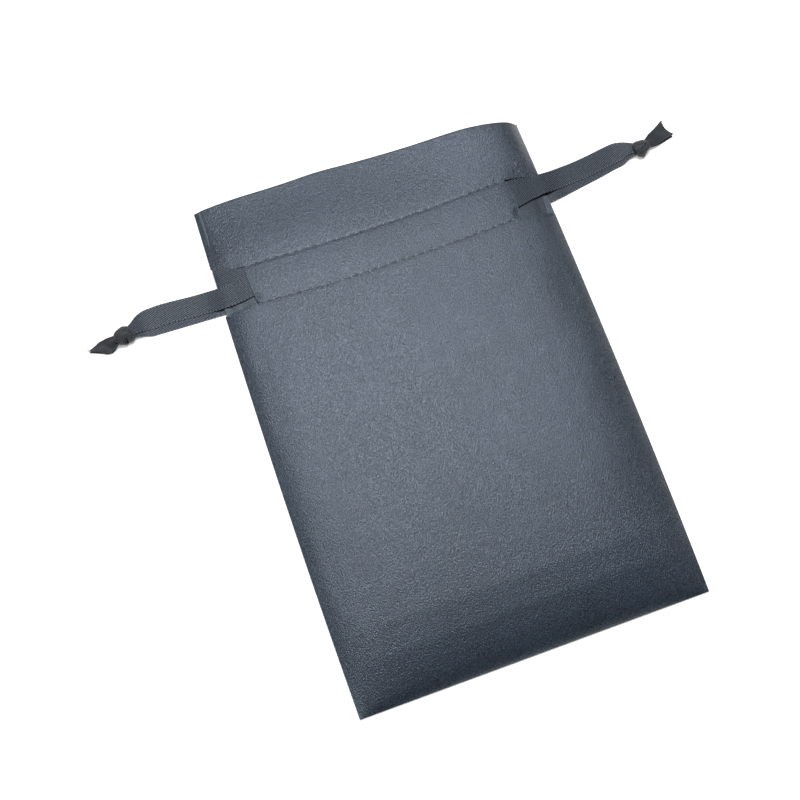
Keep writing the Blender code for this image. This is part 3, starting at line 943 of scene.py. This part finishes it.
def frayed_threads(name, tips, heading, across, seed):
    """Fine loose threads at the corners of a cut end."""
    rng = np.random.default_rng(seed)
    curve = bpy.data.curves.new(name, "CURVE")
    curve.dimensions = "3D"
    curve.bevel_depth = 0.05 * MM
    curve.bevel_resolution = 1
    curve.use_fill_caps = True
    for tip_number, tip in enumerate(tips):
        for _ in range(2):
            spline = curve.splines.new("POLY")
            spline.points.add(7)
            spread = rng.uniform(-0.9, 0.9)
            bend = rng.uniform(-1.2, 1.2)
            reach = rng.uniform(0.5, 1.3) * MM
            start = tip - heading * 0.5 * MM + across * rng.uniform(-0.5, 0.5) * MM
            for k, point in enumerate(spline.points):
                t = k / 7
                turn = spread + bend * t
                way = heading * math.cos(turn) + across * math.sin(turn)
                place = start + way * reach * t + np.array([0, 0, -0.3 * MM * t * t])
                point.co = (place[0], place[1], max(place[2], 0.06 * MM), 1)
    obj = bpy.data.objects.new(name, curve)
    bpy.context.scene.collection.objects.link(obj)
    bpy.ops.object.select_all(action="DESELECT")
    bpy.context.view_layer.objects.active = obj
    obj.select_set(True)
    bpy.ops.object.convert(target="MESH")
    return finish_piece(bpy.context.object, ribbon)


for number, (side_name, lean_side) in enumerate((("left", -1), ("right", 1))):
    centre = KNOTS[side_name]
    body = f"{side_name}_free_ends"
    knot = make_knot(side_name, centre, lean_side)
    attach(knot, body)
    for layer_number, layer in enumerate(("front", "back")):
        strand, points, length = strand_pieces[side_name, layer]
        tail, tips, heading, across = make_tail(side_name, layer, centre, **TAILS[side_name, layer])
        seed = FRAY_SEED + 2 * number + layer_number
        fray = frayed_threads(f"{side_name}_{layer}_fray", tips, heading, across, seed)
        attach(tail, body)
        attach(fray, body)
        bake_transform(strand)


# Stitching. Dark spun thread, machine-sewn in two rows across each panel. A pale fleck beside each stitch is
# a painted highlight. Plain stitches run along the seams that join the panels.

STITCH_LENGTH = 2.2 * MM
STITCH_THICKNESS = 0.20 * MM


def thread_material(name, dark, light):
    made = bpy.data.materials.new(name)
    made.use_nodes = True
    tree = made.node_tree
    link = tree.links.new
    shader = tree.nodes["Principled BSDF"]
    place = node(tree, "ShaderNodeTexCoord")
    grain = node(tree, "ShaderNodeGroup", node_tree=woven_grain)
    grain.inputs["Grain Size"].default_value = 0.12 * MM
    tone = node(tree, "ShaderNodeValToRGB")
    tone.color_ramp.elements[0].color = (*dark, 1)
    tone.color_ramp.elements[1].color = (*light, 1)
    bump = node(tree, "ShaderNodeBump", Strength=0.6, Distance=0.03 * MM)
    link(place.outputs["Object"], grain.inputs["Vector"])
    link(grain.outputs["Mask"], tone.inputs["Fac"])
    link(tone.outputs["Color"], shader.inputs["Base Color"])
    link(grain.outputs["Height"], bump.inputs["Height"])
    link(bump.outputs["Normal"], shader.inputs["Normal"])
    shader.inputs["Roughness"].default_value = 0.55
    shader.inputs["Specular IOR Level"].default_value = 0.4
    return made


thread = thread_material("thread", (0.004, 0.005, 0.007), (0.020, 0.024, 0.030))
# The pale fleck beside each stitch is a painted highlight.
stitch_highlight = thread_material("stitch_highlight", (0.12, 0.13, 0.145), (0.36, 0.38, 0.40))


def one_stitch(flecked):
    """A plump stitch, lying along X, that tapers into the cloth at both ends."""
    bpy.ops.mesh.primitive_uv_sphere_add(segments=8, ring_count=8, radius=0.5, rotation=(0, math.pi / 2, 0))
    stitch = bpy.context.object
    bpy.ops.object.transform_apply(location=False, rotation=True, scale=False)
    co = np.empty(len(stitch.data.vertices) * 3)
    stitch.data.vertices.foreach_get("co", co)
    co = co.reshape(-1, 3) * np.array([STITCH_LENGTH, STITCH_THICKNESS, STITCH_THICKNESS])
    co[:, 2] -= 0.22 * MM * (2 * co[:, 0] / STITCH_LENGTH) ** 2
    stitch.data.vertices.foreach_set("co", co.astype(np.float32).ravel())
    stitch.data.materials.append(thread)
    if not flecked:
        return stitch
    # A painted highlight beside the stitch.
    bpy.ops.mesh.primitive_uv_sphere_add(segments=8, ring_count=6, radius=0.5)
    fleck = bpy.context.object
    co = np.empty(len(fleck.data.vertices) * 3)
    fleck.data.vertices.foreach_get("co", co)
    co = co.reshape(-1, 3) * np.array([0.70, 0.24, 0.22]) * MM
    fleck.data.vertices.foreach_set("co", co.astype(np.float32).ravel())
    aside = Matrix.Translation(Vector((1.25, 0.28, 0.03)) * MM)
    fleck.data.transform(aside @ Matrix.Rotation(math.radians(38), 4, "Z"))
    fleck.data.materials.append(stitch_highlight)
    bpy.ops.object.select_all(action="DESELECT")
    fleck.select_set(True)
    stitch.select_set(True)
    bpy.context.view_layer.objects.active = stitch
    bpy.ops.object.join()
    return stitch


def stitched(name, stitch, places):
    """Copies of the stitch at (point, angle in plan, angle of rise), joined in one piece."""
    bm = bmesh.new()
    for point, angle, rise in places:
        copy = stitch.data.copy()
        turn = Matrix.Rotation(angle, 4, "Z") @ Matrix.Rotation(-rise, 4, "Y")
        copy.transform(Matrix.Translation(Vector(point)) @ turn)
        bm.from_mesh(copy)
        bpy.data.meshes.remove(copy)
    mesh = bpy.data.meshes.new(name)
    mesh.materials.append(thread)
    mesh.materials.append(stitch_highlight)
    bm.to_mesh(mesh)
    bm.free()
    obj = bpy.data.objects.new(name, mesh)
    bpy.context.scene.collection.objects.link(obj)
    smooth(obj, 80)
    return obj


stitch = one_stitch(True)
FRONT_LIFT = 0.03 * MM
BACK_LIFT = 0.26 * MM
ROW_REACH = {"left": 41.0 * MM, "right": 38.0 * MM}
rows = (
    ("front", "lower", lower_row, front_z, FRONT_LIFT),
    ("front", "upper", upper_row, front_z, FRONT_LIFT),
    ("back", "lower", lower_row, back_z, BACK_LIFT),
    ("back", "upper", upper_row, back_z, BACK_LIFT),
)
for panel, level, row, height, lift in rows:
    for side, side_name in ((-1, "left"), (1, "right")):
        places = []
        x = STITCH_PITCH * 0.5
        while x < ROW_REACH[side_name]:
            at = side * x
            y = float(row(at))
            slope = float(row(at + MM) - row(at - MM)) / (2 * MM)
            rise = float(height(np.array(at + MM), y) - height(np.array(at - MM), y)) / (2 * MM)
            z = float(height(np.array(at), y)) + lift
            places.append(((at, y, z), math.atan(slope), math.atan(rise)))
            x += STITCH_PITCH
        piece = stitched(f"{panel}_{level}_stitches_{side_name}", stitch, places)
        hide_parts(f"{panel}_{level}_stitching")
        gather(piece)

bpy.data.objects.remove(stitch, do_unlink=True)
stitch = one_stitch(False)
SEAM_INSET = 0.55 * MM
SEAM_Z = 0.36 * MM
for side, side_name in ((-1, "left"), (1, "right")):
    body_places = []
    header_places = []
    for y in np.arange(-HALF_LENGTH + 2.6 * MM, HALF_LENGTH - 2 * MM, STITCH_PITCH):
        x = side * (float(half_width(y)) - SEAM_INSET)
        place = ((x, y, SEAM_Z), math.pi / 2, 0.0)
        if y < LOWER_ROW - MM:
            body_places.append(place)
        elif y > UPPER_ROW + 3 * MM:
            header_places.append(place)
    for x in np.arange(STITCH_PITCH / 2, HALF_WIDTH - 2 * MM, STITCH_PITCH):
        body_places.append(((side * x, -HALF_LENGTH + SEAM_INSET, SEAM_Z), 0.0, 0.0))
    body_piece = stitched(f"body_seam_stitches_{side_name}", stitch, body_places)
    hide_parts("body_seam")
    gather(body_piece)
    header_piece = stitched(f"header_seam_stitches_{side_name}", stitch, header_places)
    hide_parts(f"{side_name}_header_seam")
    gather(header_piece)
bpy.data.objects.remove(stitch, do_unlink=True)
